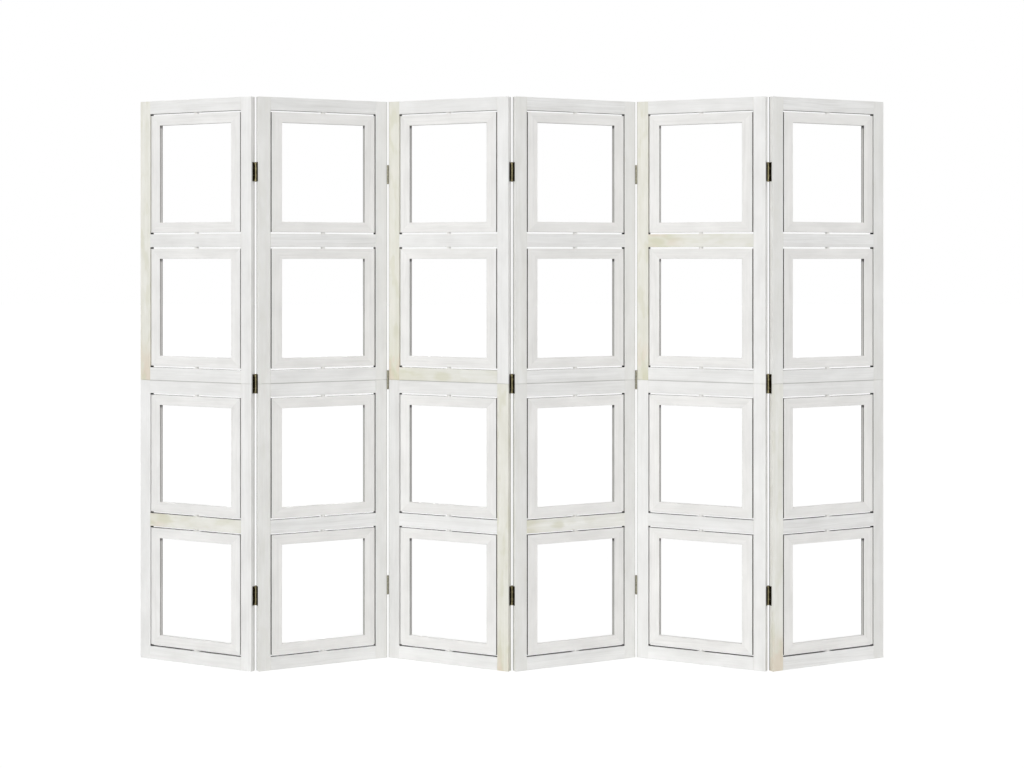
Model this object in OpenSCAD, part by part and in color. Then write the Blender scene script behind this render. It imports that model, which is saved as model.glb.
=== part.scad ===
// Folding room divider: six hinged wooden panels, each a pair of stacked halves,
// with four picture frames in every panel that swivel on upright dowels.
// +X runs along the screen, +Y away from the viewer, +Z up. The origin is on the floor,
// under the middle hinge line and midway between the near and the far hinge lines.

/* [Screen] */
// Width of one panel
panel_w = 401; // [340:1:460]
// Height of the screen, two equal halves
screen_h = 1650; // [1400:10:1900]
// Thickness of the stiles and rails
panel_t = 18; // [17:0.5:24]
// Angle of each panel from the line of the screen, as it stands
zigzag_deg = 27.5; // [10:0.5:40]

/* [Stiles and rails] */
// Width of a stile
stile_w = 36.5; // [32:0.5:50]
// Height of a rail
rail_h = 38; // [34:0.5:60]
// Chamfer along the edges of every wooden member
arris = 0.8; // [0.4:0.1:1.5]
// Hairline between the lower half and the upper one
seam_gap = 0.3; // [0.2:0.1:0.6]

/* [Picture frames] */
// Gap over and under a swivelling frame
swivel_gap = 5; // [3:0.5:10]
// Gap at either side of it
side_gap = 3.5; // [2:0.5:10]
// Width of a frame's upright members
member_w = 31.5; // [24:0.5:40]
// Width of its top and bottom members
crosspiece_w = 29.5; // [24:0.5:40]
// How far the frame's faces lie behind the panel's faces
face_recess = 0.5; // [0:0.25:2]
// Depth of the rabbet that holds a picture, from the back face
rabbet_d = 3; // [2:0.5:8]
// Width of the rabbet in an upright member
rabbet_w = 6; // [3:0.5:10]
// Glue line where two frame members are mitred together
mitre_line = 0.1; // [0.05:0.05:0.3]

/* [Dowels] */
// Diameter of every dowel
dowel_d = 8; // [6:0.5:10]
// Length of every dowel
dowel_l = 30; // [24:1:34]
// Room between a dowel and its hole, on the radius
dowel_play = 0.05; // [0.02:0.01:0.1]
// Room past the end of a dowel
dowel_end_gap = 0.3; // [0.2:0.1:1]
// Diameter of the spacer ring round a pivot dowel, in the gap it keeps open
spacer_d = 12; // [11:0.5:14]
// Room over and under a spacer ring
spacer_play = 0.3; // [0.2:0.1:0.8]
// Height between the two dowels in the end of a rail
joint_dowel_pitch = 18; // [14:1:22]
// Dowels that join the lower half to the upper one, in each panel
seam_dowels = 4; // [2:2:6]
// Distance along the rail between those dowels
seam_dowel_pitch = 70; // [30:1:90]

/* [Hinges] */
// Length of a hinge's barrel
hinge_l = 55; // [50:1:76]
// Height of the lowest hinge's middle above the floor, and of the highest one's below the top
hinge_inset = 216; // [120:1:300]
// Diameter of the barrel
barrel_d = 5; // [4.5:0.5:7]
// Diameter of the hinge pin
hinge_pin_d = 2.5; // [2:0.1:3]
// Room between the pin and a knuckle, on the radius
pin_play = 0.05; // [0.02:0.01:0.1]
// Gap between neighbouring knuckles
knuckle_gap = 0.3; // [0.2:0.05:0.6]
// Diameter of the button on each end of a pin
pin_head_d = 4.2; // [3.6:0.1:5]
// Thickness of that button
pin_head_t = 0.8; // [0.5:0.1:1.5]
// Thickness of a leaf
leaf_t = 1; // [0.8:0.1:1.6]
// How far a leaf reaches across the stile's edge
leaf_w = 12; // [10:0.5:15.5]
// Gap between the two leaves when the screen is opened flat
leaf_gap = 0.6; // [0.6:0.1:2]
// Gap between a leaf and the other leaf's knuckles
knuckle_room = 0.4; // [0.3:0.05:0.8]

/* [Hinge screws] */
// Diameter of a screw's shank
screw_d = 3; // [2.5:0.1:3.5]
// Diameter of its countersunk head
screw_head_d = 5.8; // [5:0.1:6.4]
// Length of the screw
screw_l = 16; // [12:1:20]
// Length of the screw's point
screw_tip_l = 3; // [2:0.5:4]
// Width of the cross slot
slot_w = 0.6; // [0.4:0.1:0.8]
// Depth of the cross slot
slot_d = 0.6; // [0.3:0.1:0.8]
// Room between a screw and its hole, on the radius
screw_play = 0.05; // [0.02:0.01:0.1]
// Distance between the two screws of a leaf, on the end hinges
screw_pitch = 20; // [16:1:36]
// Distance between them on the middle hinge, one in each half
seam_screw_pitch = 28; // [20:1:38]

/* [Hidden] */
panels = 6;
frame_rows = 4;
rows_per_half = 2;
cut_over = 1;
$fn = 48;

half_h = screen_h / 2;
rail_l = panel_w - 2 * stile_w;
frame_w = rail_l - 2 * side_gap;
frame_h = (half_h - 3 * rail_h - 4 * swivel_gap) / rows_per_half;
frame_t = panel_t - 2 * face_recess;
row_pitch = frame_h + 2 * swivel_gap + rail_h;

edge_gap = 2 * leaf_t + leaf_gap;
axis_out = barrel_d / 2;
step_along = panel_w + edge_gap;
step_across = panel_t + 2 * axis_out;
joint_pitch = step_along * cos(zigzag_deg) + step_across * sin(zigzag_deg);
axis_y = (step_along * sin(zigzag_deg) - step_across * cos(zigzag_deg)) / 2;

dowel_r = dowel_d / 2;
dowel_hole_r = dowel_r + dowel_play;
joint_hole_l = dowel_l / 2 + dowel_end_gap;
pivot_seat_l = (dowel_l - swivel_gap) / 2;
pivot_hole_l = pivot_seat_l + dowel_end_gap;

knuckle_l = (hinge_l - 4 * knuckle_gap) / 5;
leaf_reach = axis_out + leaf_w;
screw_y = axis_out + leaf_w / 2;
hinge_z = [hinge_inset, half_h, screen_h - hinge_inset];

wood_white = [0.93, 0.92, 0.89];
wood_shade = [0.90, 0.89, 0.86];
dowel_white = [0.95, 0.95, 0.93];
old_brass = [0.40, 0.37, 0.29];
dark_brass = [0.33, 0.30, 0.23];

// A panel that runs left to near has an odd number. Its right hinge line is near
// the viewer with its barrels at the back, and its left one is far, barrels in front.
function is_odd(k) = k % 2 == 1;
function panel_turn(k) = is_odd(k) ? -zigzag_deg : zigzag_deg;
function panel_x(k) = (k - (panels + 1) / 2) * joint_pitch;
function has_left(k) = k > 1;
function has_right(k) = k < panels;
// +1 where the barrels of the joint on a panel's side lie at its back, -1 at its front
function barrel_side(k, side) = (is_odd(k) ? 1 : -1) * side;
// Height of the middle of a frame row, counted from the top
function row_z(r) = let (half = r <= rows_per_half ? 1 : 0, n = (r - 1) % rows_per_half)
    half * half_h + half_h - rail_h - swivel_gap - frame_h / 2 - n * row_pitch;
// Height of the middle of each rail in one half, from that half's foot
function rail_mid(n) = rail_h / 2 + n * row_pitch;
rail_z = [for (h = [0, 1], n = [0:rows_per_half]) h * half_h + rail_mid(n)];
seam_x = [for (i = [0:seam_dowels - 1]) (i - (seam_dowels - 1) / 2) * seam_dowel_pitch];
hinge_screw_z = [
    for (z = hinge_z, s = [-1, 1]) z + s * (z == half_h ? seam_screw_pitch : screw_pitch) / 2
];

// Puts children from panel k's own frame into the screen: x along the panel, y to its back
module in_panel(k) {
    translate([panel_x(k), 0, 0]) rotate([0, 0, panel_turn(k)]) children();
}

// A rectangle with its corners cut off
module eased(width, height) {
    a = width / 2;
    b = height / 2;
    c = arris;
    polygon([[a - c, -b], [a, -b + c], [a, b - c], [a - c, b],
             [-a + c, b], [-a, b - c], [-a, -b + c], [-a + c, -b]]);
}

// A four-sided bar with chamfered long edges, along +Z from the ground up
module bar(width, depth, length) {
    linear_extrude(height = length) eased(width, depth);
}

// The same with its ends chamfered too, and centred
module post(width, depth, length) {
    intersection() {
        translate([0, 0, -length / 2]) bar(width, depth, length);
        rotate([90, 0, 0]) linear_extrude(height = 2 * depth, center = true) eased(width, length);
        rotate([90, 0, 90]) linear_extrude(height = 2 * width, center = true) eased(depth, length);
    }
}

// A blind hole or a dowel, from its point along one of the six directions
module rod(at, aim, length, radius) {
    translate(at) rotate(aim) cylinder(h = length, r = radius);
}

to_right = [0, 90, 0];
to_left = [0, -90, 0];
upward = [0, 0, 0];
downward = [180, 0, 0];

// Places children in a hinge's own frame at one side of panel k: the origin is on the
// hinge line, the stile's edge lies on -x and the wood begins at y = axis_out
module at_hinge(k, side) {
    b = barrel_side(k, side);
    translate([side * step_along / 2, b * step_across / 2, 0])
        scale([side, -b, 1]) children();
}

module panel_stiles(k) {
    color(wood_white) in_panel(k) difference() {
        for (side = [-1, 1], h = [-1, 1])
            translate([side * (panel_w - stile_w) / 2, 0, half_h + h * (half_h + seam_gap / 2) / 2])
                post(stile_w, panel_t, half_h - seam_gap / 2);
        for (side = [-1, 1], z = rail_z, s = [-1, 1])
            rod([side * (rail_l / 2 - cut_over), 0, z + s * joint_dowel_pitch / 2],
                side > 0 ? to_right : to_left, joint_hole_l + cut_over, dowel_hole_r);
        if (has_left(k)) stile_screw_holes(k, -1);
        if (has_right(k)) stile_screw_holes(k, 1);
    }
}

// Pilot holes in the edge of a stile
module stile_screw_holes(k, side) {
    at_hinge(k, side) for (z = hinge_screw_z)
        rod([-edge_gap / 2 + cut_over, screw_y, z], to_left,
            screw_l - leaf_t + dowel_end_gap + cut_over, screw_d / 2 + screw_play);
}

module panel_rails(k) {
    color(wood_shade) in_panel(k) difference() {
        for (z = rail_z)
            translate([-rail_l / 2, 0, z]) rotate([0, 90, 0]) bar(rail_h, panel_t, rail_l);
        for (side = [-1, 1], z = rail_z, s = [-1, 1])
            rod([side * (rail_l / 2 + cut_over), 0, z + s * joint_dowel_pitch / 2],
                side > 0 ? to_left : to_right, joint_hole_l + cut_over, dowel_hole_r);
        for (r = [1:frame_rows], s = [-1, 1])
            rod([0, 0, row_z(r) + s * (frame_h / 2 + swivel_gap - cut_over)],
                s > 0 ? upward : downward, pivot_hole_l + cut_over, dowel_hole_r);
        for (x = seam_x)
            translate([x, 0, half_h - joint_hole_l])
                cylinder(h = 2 * joint_hole_l, r = dowel_hole_r);
        translate([-rail_l, -panel_t, half_h - seam_gap / 2]) cube([2 * rail_l, 2 * panel_t, seam_gap]);
    }
}

module panel_dowels(k) {
    color(dowel_white) in_panel(k) {
        for (r = [1:frame_rows], s = [-1, 1])
            rod([0, 0, row_z(r) + s * (frame_h / 2 - pivot_seat_l)],
                s > 0 ? upward : downward, dowel_l, dowel_r);
        for (r = [1:frame_rows], s = [-1, 1])
            translate([0, 0, row_z(r) + s * (frame_h + swivel_gap) / 2]) spacer_ring();
        for (side = [-1, 1], z = rail_z, s = [-1, 1])
            rod([side * rail_l / 2 - dowel_l / 2, 0, z + s * joint_dowel_pitch / 2],
                to_right, dowel_l, dowel_r);
        for (x = seam_x)
            rod([x, 0, half_h - dowel_l / 2], upward, dowel_l, dowel_r);
    }
}

// The ring that stands between a picture frame and a rail, round the pivot dowel
module spacer_ring() {
    difference() {
        cylinder(h = swivel_gap - 2 * spacer_play, r = spacer_d / 2, center = true);
        cylinder(h = swivel_gap, r = dowel_hole_r, center = true);
    }
}

// One mitred member of a picture frame, of width w, that meets members of another width.
// Its outer edge lies on z = 0 and it runs along x.
module frame_member(length, w, meets) {
    a = frame_t / 2;
    c = arris;
    r = rabbet_w * w / member_w;
    b = length / 2 - mitre_line * sqrt(0.5);
    intersection() {
        rotate([90, 0, 90]) translate([0, 0, -length / 2]) linear_extrude(height = length)
            polygon([[-a + c, 0], [a - c, 0], [a, -c], [a, -w + r], [a - rabbet_d, -w + r],
                     [a - rabbet_d, -w], [-a + c, -w], [-a, -w + c], [-a, -c]]);
        rotate([90, 0, 0]) linear_extrude(height = 2 * frame_t, center = true)
            polygon([[-b, 0], [b, 0], [b - meets, -w], [-b + meets, -w]]);
    }
}

module photo_frame(k, r) {
    color(dowel_white) in_panel(k) translate([0, 0, row_z(r)]) {
        for (s = [-1, 1]) difference() {
            mirror([0, 0, s > 0 ? 0 : 1]) translate([0, 0, frame_h / 2])
                frame_member(frame_w, crosspiece_w, member_w);
            rod([0, 0, s * (frame_h / 2 + cut_over)], s > 0 ? downward : upward,
                pivot_hole_l + cut_over, dowel_hole_r);
        }
        for (s = [-1, 1])
            mirror([s > 0 ? 0 : 1, 0, 0]) translate([frame_w / 2, 0, 0])
                rotate([0, 90, 0]) frame_member(frame_h, member_w, crosspiece_w);
    }
}

// A hinge leaf at height z. The lead leaf has the first, third and fifth knuckles.
module hinge_leaf(z, lead, pitch) {
    mine = lead ? [0, 2, 4] : [1, 3];
    base = z - hinge_l / 2;
    near_y = barrel_d / 2 + knuckle_room;
    difference() {
        union() {
            translate([-edge_gap / 2, near_y, base]) cube([leaf_t, leaf_reach - near_y, hinge_l]);
            for (n = mine) translate([0, 0, base + n * (knuckle_l + knuckle_gap)]) {
                cylinder(h = knuckle_l, r = barrel_d / 2);
                translate([-edge_gap / 2, 0, 0]) cube([leaf_t, near_y + cut_over, knuckle_l]);
            }
        }
        translate([0, 0, base - cut_over])
            cylinder(h = hinge_l + 2 * cut_over, r = hinge_pin_d / 2 + pin_play);
        for (s = [-1, 1]) translate([0, screw_y, z + s * pitch / 2]) {
            rod([-edge_gap / 2 - cut_over, 0, 0], to_right, leaf_t + 2 * cut_over,
                screw_d / 2 + screw_play);
            translate([-edge_gap / 2, 0, 0]) rotate([0, 90, 0])
                cylinder(h = leaf_t, r1 = screw_d / 2 + screw_play,
                         r2 = screw_head_d / 2 + screw_play);
        }
    }
}

module leaf_set(k, side) {
    at_hinge(k, side) for (z = hinge_z)
        hinge_leaf(z, side > 0, z == half_h ? seam_screw_pitch : screw_pitch);
}

module panel_hinge_leaves(k) {
    color(old_brass) in_panel(k) {
        if (has_left(k)) leaf_set(k, -1);
        if (has_right(k)) leaf_set(k, 1);
    }
}

// A countersunk wood screw that points along -x, its head flush with the leaf
module wood_screw() {
    shank_l = screw_l - leaf_t - screw_tip_l;
    difference() {
        translate([leaf_t, 0, 0]) rotate([0, -90, 0]) {
            cylinder(h = leaf_t, r1 = screw_head_d / 2, r2 = screw_d / 2);
            translate([0, 0, leaf_t]) cylinder(h = shank_l, r = screw_d / 2);
            translate([0, 0, leaf_t + shank_l])
                cylinder(h = screw_tip_l, r1 = screw_d / 2, r2 = screw_d / 10);
        }
        for (a = [0, 90]) translate([leaf_t - slot_d, 0, 0]) rotate([a, 0, 0])
            translate([0, -screw_d / 2, -slot_w / 2]) cube([slot_d + cut_over, screw_d, slot_w]);
    }
}

module screw_set(k, side) {
    at_hinge(k, side) for (z = hinge_screw_z)
        translate([-edge_gap / 2, screw_y, z]) wood_screw();
}

module panel_hinge_screws(k) {
    color(dark_brass) in_panel(k) {
        if (has_left(k)) screw_set(k, -1);
        if (has_right(k)) screw_set(k, 1);
    }
}

// The pins of the joint between panels k and k + 1, each with a button on both ends
module hinge_pins(k) {
    color(dark_brass) in_panel(k) at_hinge(k, 1) for (z = hinge_z) {
        translate([0, 0, z - hinge_l / 2]) cylinder(h = hinge_l, r = hinge_pin_d / 2);
        for (s = [0, 1]) translate([0, 0, z + (s - 0.5) * hinge_l - (1 - s) * pin_head_t])
            cylinder(h = pin_head_t, r = pin_head_d / 2);
    }
}

photo_frame(1, 1);  // photo_frame_p1_r1
photo_frame(1, 2);  // photo_frame_p1_r2
photo_frame(1, 3);  // photo_frame_p1_r3
photo_frame(1, 4);  // photo_frame_p1_r4
photo_frame(2, 1);  // photo_frame_p2_r1
photo_frame(2, 2);  // photo_frame_p2_r2
photo_frame(2, 3);  // photo_frame_p2_r3
photo_frame(2, 4);  // photo_frame_p2_r4
photo_frame(3, 1);  // photo_frame_p3_r1
photo_frame(3, 2);  // photo_frame_p3_r2
photo_frame(3, 3);  // photo_frame_p3_r3
photo_frame(3, 4);  // photo_frame_p3_r4
photo_frame(4, 1);  // photo_frame_p4_r1
photo_frame(4, 2);  // photo_frame_p4_r2
photo_frame(4, 3);  // photo_frame_p4_r3
photo_frame(4, 4);  // photo_frame_p4_r4
photo_frame(5, 1);  // photo_frame_p5_r1
photo_frame(5, 2);  // photo_frame_p5_r2
photo_frame(5, 3);  // photo_frame_p5_r3
photo_frame(5, 4);  // photo_frame_p5_r4
photo_frame(6, 1);  // photo_frame_p6_r1
photo_frame(6, 2);  // photo_frame_p6_r2
photo_frame(6, 3);  // photo_frame_p6_r3
photo_frame(6, 4);  // photo_frame_p6_r4
panel_stiles(1);  // panel_1_stiles
panel_stiles(2);  // panel_2_stiles
panel_stiles(3);  // panel_3_stiles
panel_stiles(4);  // panel_4_stiles
panel_stiles(5);  // panel_5_stiles
panel_stiles(6);  // panel_6_stiles
panel_rails(1);  // panel_1_rails
panel_rails(2);  // panel_2_rails
panel_rails(3);  // panel_3_rails
panel_rails(4);  // panel_4_rails
panel_rails(5);  // panel_5_rails
panel_rails(6);  // panel_6_rails
panel_dowels(1);  // panel_1_dowels
panel_dowels(2);  // panel_2_dowels
panel_dowels(3);  // panel_3_dowels
panel_dowels(4);  // panel_4_dowels
panel_dowels(5);  // panel_5_dowels
panel_dowels(6);  // panel_6_dowels
panel_hinge_leaves(1);  // panel_1_hinge_leaves
panel_hinge_leaves(2);  // panel_2_hinge_leaves
panel_hinge_leaves(3);  // panel_3_hinge_leaves
panel_hinge_leaves(4);  // panel_4_hinge_leaves
panel_hinge_leaves(5);  // panel_5_hinge_leaves
panel_hinge_leaves(6);  // panel_6_hinge_leaves
panel_hinge_screws(1);  // panel_1_hinge_screws
panel_hinge_screws(2);  // panel_2_hinge_screws
panel_hinge_screws(3);  // panel_3_hinge_screws
panel_hinge_screws(4);  // panel_4_hinge_screws
panel_hinge_screws(5);  // panel_5_hinge_screws
panel_hinge_screws(6);  // panel_6_hinge_screws
hinge_pins(1);  // hinge_pins_1_2
hinge_pins(2);  // hinge_pins_2_3
hinge_pins(3);  // hinge_pins_3_4
hinge_pins(4);  // hinge_pins_4_5
hinge_pins(5);  // hinge_pins_5_6
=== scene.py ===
import math
import random

import bpy
import numpy as np
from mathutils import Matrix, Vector

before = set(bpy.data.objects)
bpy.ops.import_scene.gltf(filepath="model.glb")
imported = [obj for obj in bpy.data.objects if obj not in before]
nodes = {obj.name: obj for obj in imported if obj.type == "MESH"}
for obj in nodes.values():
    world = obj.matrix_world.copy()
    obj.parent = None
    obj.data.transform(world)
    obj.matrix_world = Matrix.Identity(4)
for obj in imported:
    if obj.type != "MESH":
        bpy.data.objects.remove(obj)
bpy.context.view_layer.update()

# the photographer's place: level, a little above the middle of the screen
cameraSetup = {
    "place": (0.0, -5.25, 1.1848),  # metres
    "lens": 63.14,                  # millimetres on a 36 mm sensor
    "drop": -0.1225,                # how far the frame slides down, in picture widths
}
cameraData = bpy.data.cameras.new("photoCamera")
cameraData.sensor_width = 36
cameraData.lens = cameraSetup["lens"]
cameraData.shift_y = cameraSetup["drop"]
cameraData.clip_end = 100
camera = bpy.data.objects.new("photoCamera", cameraData)
camera.location = cameraSetup["place"]
camera.rotation_euler = (math.radians(90), 0, 0)
bpy.context.scene.collection.objects.link(camera)
bpy.context.scene.camera = camera
print("camera ready")


def tint(red, green, blue):
    # a colour as it looks on a screen, 0 to 255, turned into the light it stands for
    channels = [c / 255 for c in (red, green, blue)]
    return tuple(c / 12.92 if c < 0.04045 else ((c + 0.055) / 1.055) ** 2.4 for c in channels) + (1.0,)


class Signal:
    # one value socket, so that shader maths can be written as plain expressions
    def __init__(self, finish, socket):
        self.finish, self.socket = finish, socket

    def sum(self, operation, first, second):
        return self.finish.node("ShaderNodeMath", {"operation": operation}, {0: first, 1: second})

    def __add__(self, other):
        return self.sum("ADD", self, other)

    def __radd__(self, other):
        return self.sum("ADD", other, self)

    def __sub__(self, other):
        return self.sum("SUBTRACT", self, other)

    def __rsub__(self, other):
        return self.sum("SUBTRACT", other, self)

    def __mul__(self, other):
        return self.sum("MULTIPLY", self, other)

    def __rmul__(self, other):
        return self.sum("MULTIPLY", other, self)

    def __truediv__(self, other):
        return self.sum("DIVIDE", self, other)

    def held(self, low=0.0, high=1.0):
        return self.finish.node("ShaderNodeClamp", {}, {"Value": self, "Min": low, "Max": high})

    def least(self, other):
        return self.sum("MINIMUM", self, other)

    def most(self, other):
        return self.sum("MAXIMUM", self, other)


class Finish:
    # one material while it is being mixed
    def __init__(self, name, holder=None):
        self.material = holder or bpy.data.materials.new(name)
        self.material.use_nodes = True
        self.tree = self.material.node_tree
        self.tree.nodes.clear()

    def node(self, kind, settings=None, inputs=None, out=0):
        made = self.tree.nodes.new(kind)
        for key, value in (settings or {}).items():
            setattr(made, key, value)
        for key, value in (inputs or {}).items():
            live = [s for s in made.inputs if not s.is_unavailable]
            target = live[key] if isinstance(key, int) else next(s for s in live if s.name == key)
            if isinstance(value, Signal):
                self.tree.links.new(value.socket, target)
            else:
                target.default_value = value
        results = [s for s in made.outputs if not s.is_unavailable]
        if not results:
            return None
        found = results[out] if isinstance(out, int) else next(s for s in results if s.name == out)
        return Signal(self, found)

    def fact(self, name, kind="Fac"):
        # something that writeGrain or writeBarrels wrote on the mesh
        return self.node("ShaderNodeAttribute", {"attribute_name": name}, out=kind)

    def parts(self, vector):
        split = self.node("ShaderNodeSeparateXYZ", {}, {"Vector": vector}).socket.node
        return [Signal(self, split.outputs[axis]) for axis in "XYZ"]

    def stretched(self, vector, factors):
        return self.node("ShaderNodeVectorMath", {"operation": "MULTIPLY"}, {0: vector, 1: factors})

    def grain(self, vector, scale, detail=2.0, roughness=0.5, distortion=0.0):
        return self.node("ShaderNodeTexNoise", {}, {
            "Vector": vector, "Scale": scale, "Detail": detail,
            "Roughness": roughness, "Distortion": distortion})

    def between(self, share, first, second):
        return self.node("ShaderNodeMix", {"data_type": "RGBA", "clamp_factor": True},
                         {0: share, 1: first, 2: second})

    def step(self, value, low, high):
        # rises smoothly from 0 at low to 1 at high
        return self.node("ShaderNodeMapRange", {"interpolation_type": "SMOOTHSTEP"}, {
            "Value": value, "From Min": low, "From Max": high})

    def distance(self, first, second):
        return self.node("ShaderNodeMath", {"operation": "ABSOLUTE"}, {0: first - second})

    def surface(self, settings):
        shader = self.node("ShaderNodeBsdfPrincipled", {}, settings)
        self.node("ShaderNodeOutputMaterial", {}, {"Surface": shader})
        return self.material


# the screen's own measures, in metres, as the frame has them
screen = {
    "panels": 6,
    "panelWidth": 0.401,
    "height": 1.650,
    "thickness": 0.018,
    "zigzag": 27.5,         # degrees that each panel is turned
    "stileWidth": 0.0365,
    "railWidth": 0.038,
    "swivelGap": 0.005,     # over and under a picture frame
    "sideGap": 0.0035,
    "memberWidth": 0.0315,  # of a picture frame's uprights
    "crosspiece": 0.0295,   # and of its top and bottom
    "frameThickness": 0.017,
    "edgeGap": 0.0026,      # between two panels
    "barrel": 0.005,
}
halfHeight = screen["height"] / 2
railLength = screen["panelWidth"] - 2 * screen["stileWidth"]
frameWidth = railLength - 2 * screen["sideGap"]
frameHeight = (halfHeight - 3 * screen["railWidth"] - 4 * screen["swivelGap"]) / 2
rowPitch = frameHeight + 2 * screen["swivelGap"] + screen["railWidth"]
turn = math.radians(screen["zigzag"])
jointPitch = ((screen["panelWidth"] + screen["edgeGap"]) * math.cos(turn)
              + (screen["thickness"] + screen["barrel"]) * math.sin(turn))
railHeights = [h * halfHeight + screen["railWidth"] / 2 + n * rowPitch for h in (0, 1) for n in (0, 1, 2)]
rowHeights = [h * halfHeight + halfHeight - screen["railWidth"] - screen["swivelGap"] - frameHeight / 2
              - n * rowPitch for h in (1, 0) for n in (0, 1)]
# the gaps over and under the picture frames, from the middle of a stile
outerSlot = rowHeights[0] + (frameHeight + screen["swivelGap"]) / 2 - 1.5 * halfHeight
innerSlot = rowHeights[0] - (frameHeight + screen["swivelGap"]) / 2 - 1.5 * halfHeight


def toPanel(points, panel):
    # points in the panel's own frame: along it, to its back, and up
    angle = -turn if panel % 2 else turn
    shifted = points - np.array([(panel - 3.5) * jointPitch, 0, 0])
    c, s = math.cos(angle), math.sin(angle)
    return np.stack([shifted[:, 0] * c + shifted[:, 1] * s,
                     -shifted[:, 0] * s + shifted[:, 1] * c, shifted[:, 2]], 1)


# members with less wash on them: how much all along, how much more at their low or left end and over
# what share of them, how much more at their other end, and how much brighter what wash they have is
paleMembers = {
    "stile_p1_left_upper": (0.46, 0.36, 0.20, 0.0, 0.6),
    "stile_p3_left_upper": (0.52, 0.36, 0.18, 0.0, 0.0),
    "stile_p3_left_lower": (0.0, 0.0, 0.1, 0.0, -0.8),
    "stile_p3_right_lower": (0.48, 0.24, 0.20, 0.0, 0.6),
    "stile_p5_left_upper": (0.50, 0.26, 0.20, 0.0, 0.0),
    "stile_p6_left_lower": (0.30, 0.50, 0.25, 0.0, 1.4),
    "rail_p1_lower_middle": (0.38, 0.30, 0.40, 0.05, 0.9),
    "rail_p3_upper_bottom": (0.30, 0.36, 0.60, 0.0, 0.3),
    "rail_p4_lower_middle": (0.27, 0.30, 0.40, 0.0, 1.4),
    "rail_p5_upper_middle": (0.32, 0.46, 0.60, 0.0, 0.3),
}
plainWood = (0.0, 0.0, 0.1, 0.0, 0.0)
evenStiles = {"left": (0.10, 0.0, 0.1, 0.0, 0.0), "right": (0.05, 0.0, 0.1, 0.0, -0.2)}
# greener stains that show through: place along the member from its middle, across it, and radius
stains = {
    "rail_p3_upper_bottom": (-0.012, -0.006, 0.017),
    "rail_p5_upper_middle": (-0.135, -0.006, 0.014),
    "rail_p4_lower_middle": (-0.060, 0.003, 0.012),
    "rail_p1_lower_middle": (-0.110, 0.004, 0.015),
}
noStain = (5.0, 5.0, 0.01)
panelPaintedLight = {1: 0.35, 3: 0.15, 5: 0.1}  # panels washed brighter throughout, as painted light
# how much painted shade the upright gaps get, set panel by panel to match the photo: beside the picture
# frames on their side that is nearer in the photo, and on the stiles' inner faces on the other side
nearGaps = {1: 0.62, 2: 1.05, 3: 0.95, 4: 1.30, 5: 1.30, 6: 1.15}
farGaps = {1: 0.00, 2: 0.80, 3: 0.00, 4: 0.60, 5: 0.20, 6: 0.45}
# brush marks, and how much painted shade and light the gaps, openings and joint edges get
brushAndPaintedLight = {
    "stiles": 0.4,             # how strong the brush marks are
    "frames": 0.65,
    "oddRails": 0.5,
    "evenRails": 1.05,
    "levelGap": 0.80,          # how much painted shade the level gaps get at eye height
    "levelGapMore": 0.50,      # and how much more away from it
    "eyeHeight": 1.05,
    "eyeReach": 0.8,
    "nearEdge": 1.0,           # how much brighter the near stiles' joint edges are painted, as painted light
    "nearOddStile": 0.35,      # and the odd panels' near stiles
    "firstReveal": 0.75,       # how much painted shade the openings' sides get in panel 1
}
square = 0.9          # how squarely a face looks along an axis to count as looking that way
justInside = 0.0004   # metres behind a face, to find the member that it bounds
ledgeDrop = 0.001     # metres that a rabbet's floor lies below the back, at least


def memberOf(node, inside, panel):
    # the name, centre, direction and half size of the member that holds a point, in the panel's frame,
    # and which of its sides look into a gap
    x, _, z = inside
    w, t = screen["panelWidth"], screen["thickness"]
    if node.endswith("_stiles"):
        side, half = (-1 if x < 0 else 1), (1 if z > halfHeight else 0)
        name = f"stile_p{panel}_{'left' if side < 0 else 'right'}_{'upper' if half else 'lower'}"
        return (name, (side * (w - screen["stileWidth"]) / 2, 0, (half + 0.5) * halfHeight), "up",
                (halfHeight / 2, screen["stileWidth"] / 2, t / 2), (-side,))
    if node.endswith("_rails"):
        n = min(range(6), key=lambda i: abs(z - railHeights[i]))
        name = f"rail_p{panel}_{'upper' if n > 2 else 'lower'}_{('bottom', 'middle', 'top')[n % 3]}"
        return (name, (0, 0, railHeights[n]), "along", (railLength / 2, screen["railWidth"] / 2, t / 2),
                ((1,), (-1, 1), (-1,))[n % 3])
    row = min(range(4), key=lambda i: abs(z - rowHeights[i]))
    z -= rowHeights[row]
    side, cross = screen["memberWidth"], screen["crosspiece"]
    shares = {"left": (frameWidth / 2 + x) / side, "right": (frameWidth / 2 - x) / side,
              "bottom": (frameHeight / 2 + z) / cross, "top": (frameHeight / 2 - z) / cross}
    edge = min(shares, key=shares.get)
    name = f"frame_p{panel}_r{row + 1}_{edge}"
    outward = -1 if edge in ("left", "bottom") else 1
    if edge in ("left", "right"):
        return (name, (outward * (frameWidth / 2 - side / 2), 0, rowHeights[row]), "up",
                (frameHeight / 2, side / 2, screen["frameThickness"] / 2), (-1, 1))
    return (name, (0, 0, rowHeights[row] + outward * (frameHeight / 2 - cross / 2)), "along",
            (frameWidth / 2, cross / 2, screen["frameThickness"] / 2), (-1, 1))


def plainMember(name, panel):
    # the even panels' stiles are a little creamier, and thinner washed on the right
    if panel % 2 or not name.startswith("stile"):
        return plainWood
    return evenStiles["left" if "_left_" in name else "right"]


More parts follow.
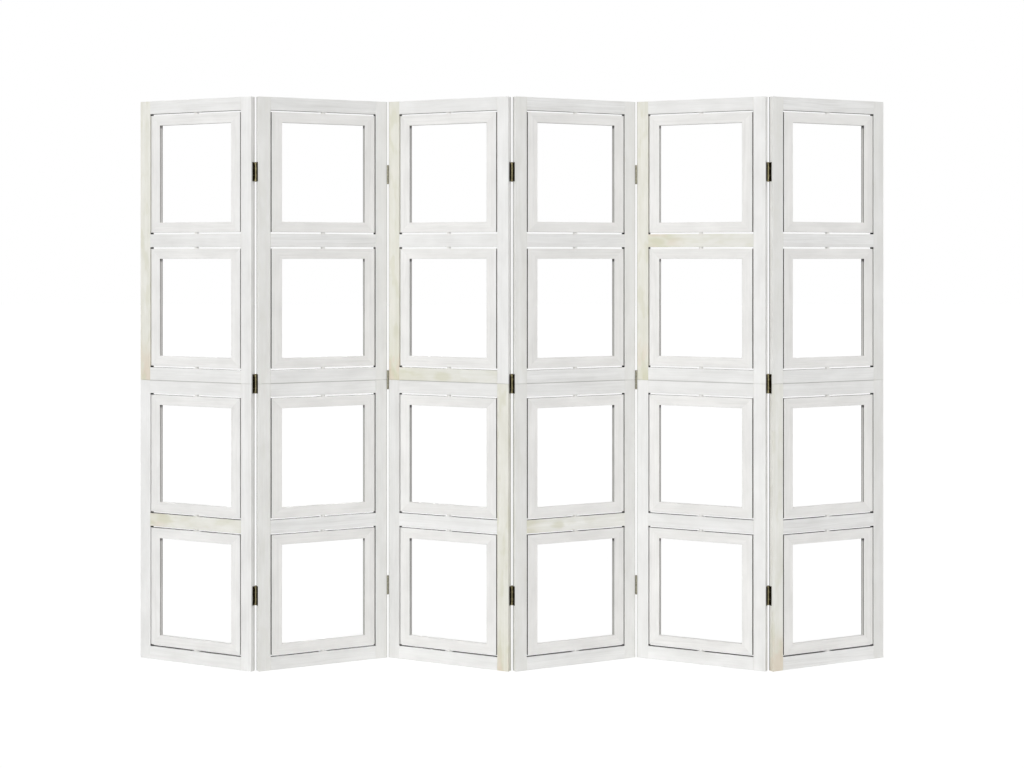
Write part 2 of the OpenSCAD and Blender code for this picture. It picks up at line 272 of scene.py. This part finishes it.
def writeGrain(node, panel):
    # writes each member's own grain direction, size, chance and wash, and where painted light and shade go,
    # on the faces it has
    mesh = nodes[node].data
    points = np.empty(len(mesh.vertices) * 3)
    mesh.vertices.foreach_get("co", points)
    corners = np.empty(len(mesh.loops), np.int32)
    mesh.loops.foreach_get("vertex_index", corners)
    triangles = toPanel(points.reshape(-1, 3), panel)[corners].reshape(-1, 3, 3)
    normals = np.cross(triangles[:, 1] - triangles[:, 0], triangles[:, 2] - triangles[:, 0])
    normals /= np.maximum(np.linalg.norm(normals, axis=1, keepdims=True), 1e-12)
    inside = triangles.mean(1) - normals * justInside
    vectors = {key: np.zeros((len(triangles), 3, 3)) for key in
               ("grain", "reach", "chance", "stain", "pale")}
    amounts = {key: np.zeros((len(triangles), 3)) for key in
               ("paleEnd", "lift", "streaks", "gapFace", "pivot", "corner", "reveal", "upright", "jointEdge",
                "backLine", "farArris", "endGrain", "ledge")}
    odd, isStile, isFrame = panel % 2 == 1, node.endswith("_stiles"), node.startswith("photo_frame")
    kind = "stiles" if isStile else "frames" if isFrame else "oddRails" if odd else "evenRails"
    known = {}
    for i, point in enumerate(inside):
        name, centre, way, half, towardGap = memberOf(node, point, panel)
        local = triangles[i] - np.array(centre)
        if way == "up":
            local, facing, lengthways = local[:, [2, 0, 1]], normals[i][0], normals[i][2]
        else:
            local, facing, lengthways = local[:, [0, 2, 1]], normals[i][2], normals[i][0]
        if name not in known:
            draw = random.Random(name)
            known[name] = ([draw.random() for _ in range(3)],
                           paleMembers.get(name, plainMember(name, panel)), stains.get(name, noStain))
        chance, (middle, low, share, high, lift), stain = known[name]
        vectors["grain"][i] = local
        vectors["reach"][i] = half
        vectors["chance"][i] = chance
        vectors["stain"][i] = stain
        vectors["pale"][i] = (middle, low, share)
        amounts["paleEnd"][i] = high
        amounts["lift"][i] = lift + panelPaintedLight.get(panel, 0.0)
        amounts["upright"][i] = 1.0 if way == "up" else 0.0
        amounts["streaks"][i] = brushAndPaintedLight[kind]
        if any(facing * side > square for side in towardGap):
            if way == "along":
                # painted shade, darker above and below eye height, and left off round the pivots
                away = min(1.0, abs(centre[2] - brushAndPaintedLight["eyeHeight"]) / brushAndPaintedLight["eyeReach"])
                amounts["gapFace"][i] = brushAndPaintedLight["levelGap"] + brushAndPaintedLight["levelGapMore"] * away
                amounts["pivot"][i] = 1.0
            else:
                far = (centre[0] < 0) == odd
                amounts["gapFace"][i] = (farGaps if far else nearGaps)[panel] if far == isStile else 0.0
        if isStile:
            side = -towardGap[0]
            amounts["corner"][i] = 1.0 if facing * towardGap[0] > square else 0.0
            near = side == (1 if odd else -1)
            atJoint = not (panel == 1 and side < 0 or panel == screen["panels"] and side > 0)
            if atJoint and facing * side > square:
                amounts["jointEdge"][i] = -1.0 if not near else 1.0 if odd else 0.0
                amounts["backLine"][i] = 1.0 if near and not odd else 0.0
            # painted light: the near stiles' joint edges are washed lighter, and the odd panels' near stiles
            # a little
            if near:
                amounts["lift"][i] += (brushAndPaintedLight["nearEdge"] if facing * side > square
                                       else brushAndPaintedLight["nearOddStile"] if odd else 0.0)
            if atJoint and not near and abs(normals[i][1]) > 0.5:
                amounts["farArris"][i] = side
        amounts["endGrain"][i] = 1.0 if abs(lengthways) > square else 0.0
        if isFrame:
            # the sides of the picture opening, all but the foot of it, get painted shade
            edge = name.rsplit("_", 1)[1]
            outward = -1 if edge in ("left", "bottom") else 1
            if facing * outward < -square:
                amounts["gapFace"][i] = 0.0
                full = brushAndPaintedLight["firstReveal"] if panel == 1 else 1.0
                amounts["reveal"][i] = 0.0 if edge == "bottom" else full
            if normals[i][1] > square and local[:, 2].max() < half[2] - ledgeDrop:
                amounts["ledge"][i] = 1.0
    for key, value in vectors.items():
        layer = mesh.attributes.new(key, "FLOAT_VECTOR", "CORNER")
        layer.data.foreach_set("vector", value.astype(np.float32).ravel())
    for key, value in amounts.items():
        layer = mesh.attributes.new(key, "FLOAT", "CORNER")
        layer.data.foreach_set("value", value.astype(np.float32).ravel())


woodLook = {
    "wash": (243, 243, 242),     # the whitewash in full light
    "bright": (252, 252, 251),   # members that took more of it, and painted light on some faces
    "thin": (205, 204, 201),     # where the brush left it thin
    "cream": (219, 217, 194),    # members that took less of it
    "green": (204, 203, 172),    # stains in those
    "rose": (224, 208, 190),     # and rosier places
    "shade": (176, 175, 171),    # painted shade in gaps, openings and along joint edges
    "gapShadow": (44, 42, 39),      # painted shadow deep in the gaps
    "slotShadow": (30, 29, 28),         # painted shadow in the corners of the gaps
    "seam": (160, 159, 155),
    "cut": (216, 207, 184),      # end grain
    "nick": (216, 210, 194),     # rubbed arrises
}
# where the painted shade and the other marks start and where they are complete, in metres; most were set to
# match the photo
woodMarks = {
    "deep": (0.0006, 0.0034),        # under a face, in a gap or an opening
    "toEnd": (0.022, 0.004),         # from a member's end
    "pivot": (0.016, 0.008),         # from a pivot, where a gap gets no painted shade
    "nookShadow": (0.012, 0.003),          # under the top of an opening's sides, for a painted shadow
    "offMiddle": (0.0085, 0.0055),   # under a face, where an upright gap's dark band ends inside
    "dim": (0.0002, 0.0009),         # and where it starts
    "dimReveal": (0.0010, 0.0020),   # the same on an opening's sides
    "slotShadow": (0.0034, 0.0020),         # from the level gap beside a stile
    "seam": (0.0018, 0.0008),        # from the line between the halves
    "fold": (-0.002, 0.009),         # across a joint edge
    "backLine": (0.0040, 0.0056),    # across the near joint edge of an even panel
    "farArris": (0.0030, 0.0010),    # from a far joint's arris
    "rub": (0.0016, 0.0004),         # from any arris
}


def washedWood(name, look):
    f = Finish(name)
    spot = f.fact("grain", "Vector")
    place = f.node("ShaderNodeVectorMath", {"operation": "MULTIPLY_ADD"}, {
        0: f.fact("chance", "Vector"), 1: (7.0, 7.0, 7.0), 2: spot})
    fine = f.grain(f.stretched(place, (9, 620, 620)), 1.0, 3.0, 0.6)
    band = f.grain(f.stretched(place, (2.2, 75, 75)), 1.0, 3.0, 0.55, 0.4)
    cloud = f.grain(f.stretched(place, (9, 22, 22)), 1.0, 3.0, 0.55)
    blotch = f.grain(f.stretched(place, (14, 40, 40)), 1.0, 2.0, 0.5)
    drift = f.grain(f.stretched(place, (3.0, 14, 14)), 1.0, 1.0, 0.4)
    chance = f.parts(f.fact("chance", "Vector"))
    along, across, depth = f.parts(f.node("ShaderNodeVectorMath", {"operation": "ABSOLUTE"}, {0: spot}))
    halfLength, halfWidth, halfDepth = f.parts(f.fact("reach", "Vector"))
    underFace = halfDepth - depth
    fromLow = f.parts(spot)[0] / halfLength * 0.5 + 0.5
    middle, low, share = f.parts(f.fact("pale", "Vector"))
    bare = middle + low * f.step(fromLow, share, 0.0) + f.fact("paleEnd") * f.step(fromLow, 0.6, 1.0)
    # brush marks, straight grain and a faint figure in the wash
    figure = f.node("ShaderNodeMath", {"operation": "SINE"}, {
        0: f.parts(spot)[1] * (430.0 + 200.0 * chance[2]) + (drift - 0.5) * 34.0 + (band - 0.5) * 2.0})
    lift = f.fact("lift")
    streaks = f.fact("streaks") * (0.5 + 0.9 * chance[1])
    thin = (0.16 + 0.06 * chance[0] + 0.35 * (0.0 - lift).most(0.0) + 0.58 * streaks * (fine - 0.5)
            + 0.70 * streaks * (band - 0.5) + 0.70 * (cloud - 0.5)
            + 0.07 * streaks * f.step(figure, 0.35, 1.0)).held()
    # more wash on some members, and painted light on the near joint edges and on whole panels
    wash = f.between(lift, tint(*look["wash"]), tint(*look["bright"]))
    colour = f.between(thin, wash, tint(*look["thin"]))
    # creamier members, with greener and rosier places
    cream = (bare * (0.85 + 0.5 * (band - 0.5) + 0.7 * (cloud - 0.5) + 0.3 * (fine - 0.5))).held()
    colour = f.between(cream, colour, tint(*look["cream"]))
    colour = f.between(bare * f.step(blotch, 0.50, 0.66) * 0.55, colour, tint(*look["green"]))
    rosy = f.step(bare, 0.45, 0.8) * f.step(cloud, 0.54, 0.40)
    colour = f.between(rosy * 0.6, colour, tint(*look["rose"]))
    offset = f.node("ShaderNodeVectorMath", {"operation": "SUBTRACT"}, {
        0: spot, 1: f.fact("stain", "Vector")})
    stainAlong, stainAcross, _ = f.parts(offset)
    size = f.parts(f.fact("stain", "Vector"))[2]
    far = f.node("ShaderNodeMath", {"operation": "SQRT"}, {
        0: (stainAlong * 0.55) * (stainAlong * 0.55) + stainAcross * stainAcross})
    stain = f.step(far / size + (blotch - 0.5) * 2.6, 1.35, 0.25)
    colour = f.between(stain * 0.42, colour, tint(*look["green"]))
    # the sides of gaps and openings get painted shade
    reveal, gapFace, upright = f.fact("reveal"), f.fact("gapFace"), f.fact("upright")
    deep = f.step(underFace, *woodMarks["deep"])
    toEnd = f.step(halfLength - along, *woodMarks["toEnd"])
    # the gaps get no painted shade round the pivots
    nearPivot = f.fact("pivot") * f.step(along, *woodMarks["pivot"])
    # a painted shadow under the top of each opening's sides
    underTop = halfLength - screen["crosspiece"] - f.parts(spot)[0]
    nookShadow = reveal * upright * f.step(underTop, *woodMarks["nookShadow"])
    # the upright ones in a band along each face only, and lighter in the middle of their depth
    offMiddle = f.step(underFace, *woodMarks["offMiddle"])
    dim = f.step(underFace, *woodMarks["dim"]) * offMiddle
    dimReveal = f.step(underFace, *woodMarks["dimReveal"]) * offMiddle
    uprightLess = upright * (0.5 + 0.45 * deep - 0.8 * dimReveal)
    shaded = reveal * (0.55 + 0.45 * deep - uprightLess) * (0.95 + 0.4 * (cloud - 0.5))
    colour = f.between(shaded.held(), colour, tint(*look["shade"]))
    uneven = 0.85 + 0.3 * (cloud - 0.5) + 0.3 * toEnd * (1 - upright)
    gapShade = gapFace * (deep + upright * (dim - deep)) * uneven
    openingBand = reveal * upright * dimReveal * (0.30 + 0.15 * fromLow)
    paintedShadowShare = (gapShade * (1 - nearPivot) + nookShadow * 0.8 + openingBand).held()
    colour = f.between(paintedShadowShare, colour, tint(*look["gapShadow"]))
    # painted shadow: the stiles' inner faces are darkest level with the gaps over and under the picture
    # frames
    toSlot = f.distance(along, outerSlot).least(f.distance(along, innerSlot))
    slotShadow = f.fact("corner") * deep * f.step(toSlot, *woodMarks["slotShadow"])
    colour = f.between(slotShadow, colour, tint(*look["slotShadow"]))
    # the line where the two halves of a panel meet, plainest along the rails
    height = f.parts(f.node("ShaderNodeTexCoord", {}, {}, out="Object"))[2]
    seam = f.step(f.distance(height, halfHeight), *woodMarks["seam"]) * (0.5 - 0.4 * upright)
    colour = f.between(seam, colour, tint(*look["seam"]))
    # painted shade on two panels' edges, darker toward the gap between them
    jointEdge = f.fact("jointEdge")
    fold = f.distance(jointEdge, 0.0) * f.step(f.parts(spot)[2] * jointEdge, *woodMarks["fold"])
    colour = f.between(fold * 0.55, colour, tint(*look["shade"]))
    # a painted shadow along the back of an even panel's near joint edge
    backLine = f.fact("backLine") * f.step(f.parts(spot)[2], *woodMarks["backLine"])
    colour = f.between(backLine * 0.85, colour, tint(*look["gapShadow"]))
    # painted shade along the far joints' arrises
    toFar = halfWidth - f.parts(spot)[1] * f.fact("farArris")
    farArris = f.distance(f.fact("farArris"), 0.0) * f.step(toFar, *woodMarks["farArris"])
    colour = f.between(farArris * 0.75, colour, tint(*look["shade"]))
    colour = f.between(f.fact("ledge") * (0.45 + 0.5 * (cloud - 0.5)), colour, tint(*look["cut"]))
    # end grain: rings round a heart that lies off the bar, and open pores
    heart = f.node("ShaderNodeVectorMath", {"operation": "MULTIPLY_ADD"}, {
        0: f.fact("chance", "Vector"), 1: (0.0, 0.04, 0.03), 2: f.stretched(spot, (0, 1, 1))})
    radius = f.node("ShaderNodeVectorMath", {"operation": "LENGTH"}, {0: heart}, out="Value")
    rings = f.node("ShaderNodeMath", {"operation": "SINE"}, {0: radius * 3300.0 + (cloud - 0.5) * 9.0})
    endGrain = f.fact("endGrain")
    cut = (endGrain * (0.34 + 0.16 * rings + 0.5 * (fine - 0.5))).held()
    colour = f.between(cut, colour, tint(*look["cut"]))
    # rubbed spots along the arrises
    toArris = (halfWidth - across) + underFace
    spots = f.grain(f.stretched(place, (60, 200, 200)), 1.0, 2.0)
    rub = f.step(toArris, *woodMarks["rub"]) * f.step(spots, 0.62, 0.72)
    colour = f.between(rub * 0.5, colour, tint(*look["nick"]))
    rough = (0.56 + 0.18 * (cloud - 0.5) + 0.16 * (fine - 0.5) + 0.08 * bare
             + 0.15 * endGrain).held(0.35, 0.9)
    relief = fine * 0.55 + band * 0.45 - rub * 0.6 + endGrain * 0.2 * rings
    bump = f.node("ShaderNodeBump", {}, {"Strength": 0.5, "Distance": 0.00018, "Height": relief})
    return f.surface({"Base Color": colour, "Roughness": rough, "Normal": bump, "Specular IOR Level": 0.4})


def paint(node, material):
    # puts the material in every slot that the node's mesh has
    slots = nodes[node].data.materials
    for i in range(len(slots)):
        slots[i] = material


panelWood = washedWood("whitewashedPine", woodLook)
frameWood = washedWood("whitewashedFrameWood", dict(woodLook, wash=(245, 244, 242)))
woodNodes = {}
for panel in range(1, screen["panels"] + 1):
    woodNodes[f"panel_{panel}_stiles"] = (panel, panelWood)
    woodNodes[f"panel_{panel}_rails"] = (panel, panelWood)
    for row in (1, 2, 3, 4):
        woodNodes[f"photo_frame_p{panel}_r{row}"] = (panel, frameWood)
for node, (panel, wood) in woodNodes.items():
    writeGrain(node, panel)
    paint(node, wood)
print("whitewashed", len(woodNodes), "wooden nodes")

dowelLook = {"wood": (250, 250, 249), "line": (242, 240, 235)}  # painted like the frames


def dowelWood(look):
    f = Finish("turnedDowelWood")
    spot = f.node("ShaderNodeTexCoord", {}, {}, out="Object")
    lines = f.grain(f.stretched(spot, (700, 700, 12)), 1.0, 3.0)
    colour = f.between(f.step(lines, 0.35, 0.75), tint(*look["wood"]), tint(*look["line"]))
    bump = f.node("ShaderNodeBump", {}, {"Strength": 0.4, "Distance": 0.0001, "Height": lines})
    rough = (0.5 + 0.2 * (lines - 0.5)).held()
    return f.surface({"Base Color": colour, "Roughness": rough, "Normal": bump})


dowels = dowelWood(dowelLook)
for panel in range(1, screen["panels"] + 1):
    paint(f"panel_{panel}_dowels", dowels)
print("dowels turned")

brassLook = {
    "barrel": (172, 163, 128),     # lighter on the knuckles, partly rubbed brass and partly painted light
    "farBarrel": (162, 160, 142),  # and greyer where the barrels stand in front
    "leaf": (34, 26, 6),           # browned nearly black, partly painted shade
    "dull": (54, 48, 30),
    "rubbed": (164, 152, 112),
    "screw": (84, 78, 60),
}


def writeBarrels(node, panel):
    # marks the knuckles of the hinges, which stand proud of the panel's face, and the far joints' hinges
    mesh = nodes[node].data
    points = np.empty(len(mesh.vertices) * 3)
    mesh.vertices.foreach_get("co", points)
    inPanel = toPanel(points.reshape(-1, 3), panel)
    marks = {"barrel": np.abs(inPanel[:, 1]) > screen["thickness"] / 2 - 0.0002,
             "farHinge": inPanel[:, 0] * (-1 if panel % 2 else 1) > 0}
    for key, mark in marks.items():
        layer = mesh.attributes.new(key, "FLOAT", "POINT")
        layer.data.foreach_set("value", mark.astype(np.float32))


def agedBrass(name, look, base, spread):
    f = Finish(name)
    spot = f.node("ShaderNodeTexCoord", {}, {}, out="Object")
    patches = f.grain(spot, 160.0, 4.0, 0.6)
    specks = f.grain(spot, 900.0, 3.0, 0.6)
    dark = f.step(patches, 0.40, 0.62) * spread
    metal = tint(*look[base])
    if base == "leaf":
        # the knuckles lighter than the leaves, partly as painted light
        barrel = f.between(f.fact("farHinge"), tint(*look["barrel"]), tint(*look["farBarrel"]))
        metal = f.between(f.fact("barrel"), metal, barrel)
    colour = f.between(dark * 0.6, metal, tint(*look["dull"]))
    colour = f.between(f.step(specks, 0.62, 0.74) * 0.4, colour, tint(*look["rubbed"]))
    rough = (0.42 + 0.2 * dark + 0.2 * (specks - 0.5)).held(0.25, 0.8)
    bump = f.node("ShaderNodeBump", {}, {"Strength": 0.35, "Distance": 0.00008, "Height": specks})
    metallic = (0.95 - 0.35 * dark).held()
    return f.surface({"Base Color": colour, "Metallic": metallic, "Roughness": rough, "Normal": bump})


leafBrass = agedBrass("agedBrassLeaf", brassLook, "leaf", 0.6)
screwBrass = agedBrass("agedBrassScrew", brassLook, "screw", 0.6)
for node in nodes:
    if node.endswith("_hinge_leaves"):
        writeBarrels(node, int(node.split("_")[1]))
        paint(node, leafBrass)
    elif node.endswith("_hinge_screws") or node.startswith("hinge_pins"):
        paint(node, screwBrass)
print("hinges aged")

# the studio: a pale floor that reads as white, a soft key from the left front, fills all round
studio = {
    "world": 0.215,
    "floor": (240, 240, 239),
    "floorShare": 0.75,    # how much of the floor the camera sees as plain white
    "floorGlow": 1.17,     # how bright that white is, so that the open floor meets the backdrop
    "key": {"from": (-2.6, -6.0, 3.6), "size": 30, "strength": 0.88},
    "front": {"from": (0.0, -6.5, 3.2), "size": 50, "strength": 1.02},
    "back": {"from": (5.0, 4.5, 3.5), "size": 60, "strength": 0.88},
    "rear": {"from": (-0.6, 6.0, 1.0), "size": 10, "strength": 0.62},  # level, so little bounces forward
    "top": {"from": (0.0, -1.0, 7.0), "size": 50, "strength": 0.45},
}


def addSun(name, setup):
    data = bpy.data.lights.new(name, "SUN")
    data.energy = setup["strength"]
    data.angle = math.radians(setup["size"])
    lamp = bpy.data.objects.new(name, data)
    lamp.location = setup["from"]
    aim = Vector((0, 0, 0.8)) - lamp.location
    lamp.rotation_euler = aim.to_track_quat("-Z", "Y").to_euler()
    bpy.context.scene.collection.objects.link(lamp)


for lampName in ("key", "front", "back", "rear", "top"):
    addSun(lampName + "Light", studio[lampName])

world = bpy.data.worlds.new("studioWhite")
bpy.context.scene.world = world
backdrop = Finish("studioWhite", world)
path = backdrop.node("ShaderNodeLightPath", {}, {}, out="Is Camera Ray")
glossy = backdrop.node("ShaderNodeLightPath", {}, {}, out="Is Glossy Ray")
through = backdrop.node("ShaderNodeLightPath", {}, {}, out="Is Transmission Ray")
bright = path.most(glossy).most(through)
glow = backdrop.node("ShaderNodeBackground", {}, {
    "Color": (1, 1, 1, 1), "Strength": bright + (1 - bright) * studio["world"]})
backdrop.node("ShaderNodeOutputWorld", {}, {"Surface": glow})

floorMesh = bpy.data.meshes.new("studioFloor")
floorMesh.from_pydata([(-40, -40, 0), (40, -40, 0), (40, 40, 0), (-40, 40, 0)], [], [(0, 1, 2, 3)])
floor = bpy.data.objects.new("studioFloor", floorMesh)
floor.location.z = -0.0002
bpy.context.scene.collection.objects.link(floor)
f = Finish("studioFloor")
matte = f.node("ShaderNodeBsdfDiffuse", {}, {"Color": tint(*studio["floor"])})
white = f.node("ShaderNodeEmission", {}, {"Color": (1, 1, 1, 1), "Strength": studio["floorGlow"]})
seen = f.node("ShaderNodeLightPath", {}, {}, out="Is Camera Ray")
mixed = f.node("ShaderNodeMixShader", {}, {0: seen * studio["floorShare"], 1: matte, 2: white})
f.node("ShaderNodeOutputMaterial", {}, {"Surface": mixed})
floorMesh.materials.append(f.material)
bpy.context.scene.view_settings.view_transform = "Standard"
print("studio lit")
